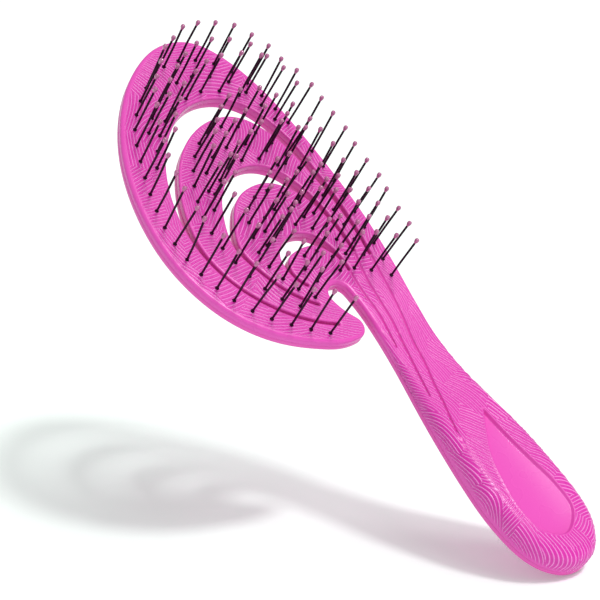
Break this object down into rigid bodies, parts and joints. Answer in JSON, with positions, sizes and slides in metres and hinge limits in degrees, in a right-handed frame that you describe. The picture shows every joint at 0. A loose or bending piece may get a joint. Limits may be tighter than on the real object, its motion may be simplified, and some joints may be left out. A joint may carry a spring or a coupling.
{
  "type": "detangling brush",
  "caption": "Detangling hair brush: slim grip running into an open head of nested curved bands, with straight nylon pins and small rounded tips.",
  "frame": {"origin": "middle of the whole brush seen from the pin side, in the plane of its flat back", "axes": "+Z the way the pins point, +Y along the brush from the butt of the handle to the far end of the head, +X to the right when the pins point at the viewer and the head is up"},
  "size_m": [0.0835, 0.235, 0.0267],
  "materials": {
    "shell_plastic": "moulded satin gloss with fine relief",
    "nylon_pins": "smooth drawn nylon",
    "resin_tips": "glossy rounded resin"
  },
  "bodies": {
    "root": {"back_cover": "shell_plastic", "front_frame": "shell_plastic", "pins_inner_band_outer": "nylon_pins", "pins_outer_band_inner": "nylon_pins", "pins_outer_band_middle": "nylon_pins", "pins_outer_band_rim": "nylon_pins", "pins_second_band_inner": "nylon_pins", "pins_second_band_middle": "nylon_pins", "pins_second_band_outer": "nylon_pins", "pins_third_band_inner": "nylon_pins", "pins_third_band_middle": "nylon_pins", "pins_third_band_outer": "nylon_pins", "tips_inner_band_outer": "resin_tips", "tips_outer_band_inner": "resin_tips", "tips_outer_band_middle": "resin_tips", "tips_outer_band_rim": "resin_tips", "tips_second_band_inner": "resin_tips", "tips_second_band_middle": "resin_tips", "tips_second_band_outer": "resin_tips", "tips_third_band_inner": "resin_tips", "tips_third_band_middle": "resin_tips", "tips_third_band_outer": "resin_tips"}
  },
  "joints": []
}
